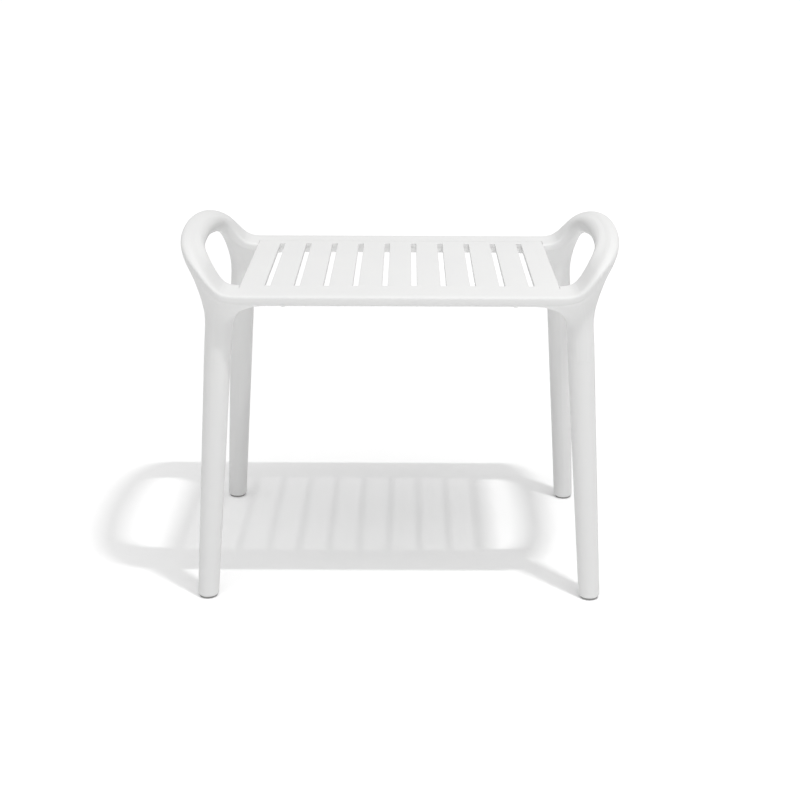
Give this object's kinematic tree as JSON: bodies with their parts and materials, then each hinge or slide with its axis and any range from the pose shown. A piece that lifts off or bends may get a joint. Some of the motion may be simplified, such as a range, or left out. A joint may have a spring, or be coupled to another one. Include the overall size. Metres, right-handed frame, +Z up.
{
  "type": "shower stool",
  "caption": "Low white bathroom stool with a slatted flat seat, raised loop handles at both ends and splayed round legs on rubber feet.",
  "frame": {"origin": "on the floor under the middle of the seat", "axes": "+X along the seat from the left handle to the right one, +Y from front to rear, +Z up"},
  "size_m": [0.582, 0.3702, 0.4785],
  "materials": {
    "white_polypropylene": "fine satin moulded",
    "white_polyethylene": "smooth moulded",
    "grey_rubber": "matt moulded",
    "stainless_steel": "plain",
    "brass": "turned"
  },
  "bodies": {
    "root": {"front_left_foot": "grey_rubber", "front_left_leg": "white_polypropylene", "front_left_leg_bolt": "stainless_steel", "front_left_leg_insert": "brass", "front_left_leg_washer": "stainless_steel", "front_left_seat_screw": "stainless_steel", "front_left_stacking_stud": "white_polyethylene", "front_middle_seat_screw": "stainless_steel", "front_right_foot": "grey_rubber", "front_right_leg": "white_polypropylene", "front_right_leg_bolt": "stainless_steel", "front_right_leg_insert": "brass", "front_right_leg_washer": "stainless_steel", "front_right_seat_screw": "stainless_steel", "front_right_stacking_stud": "white_polyethylene", "handle_frame": "white_polypropylene", "rear_left_foot": "grey_rubber", "rear_left_leg": "white_polypropylene", "rear_left_leg_bolt": "stainless_steel", "rear_left_leg_insert": "brass", "rear_left_leg_washer": "stainless_steel", "rear_left_seat_screw": "stainless_steel", "rear_left_stacking_stud": "white_polyethylene", "rear_middle_seat_screw": "stainless_steel", "rear_right_foot": "grey_rubber", "rear_right_leg": "white_polypropylene", "rear_right_leg_bolt": "stainless_steel", "rear_right_leg_insert": "brass", "rear_right_leg_washer": "stainless_steel", "rear_right_seat_screw": "stainless_steel", "rear_right_stacking_stud": "white_polyethylene", "seat_panel": "white_polypropylene"}
  },
  "joints": []
}
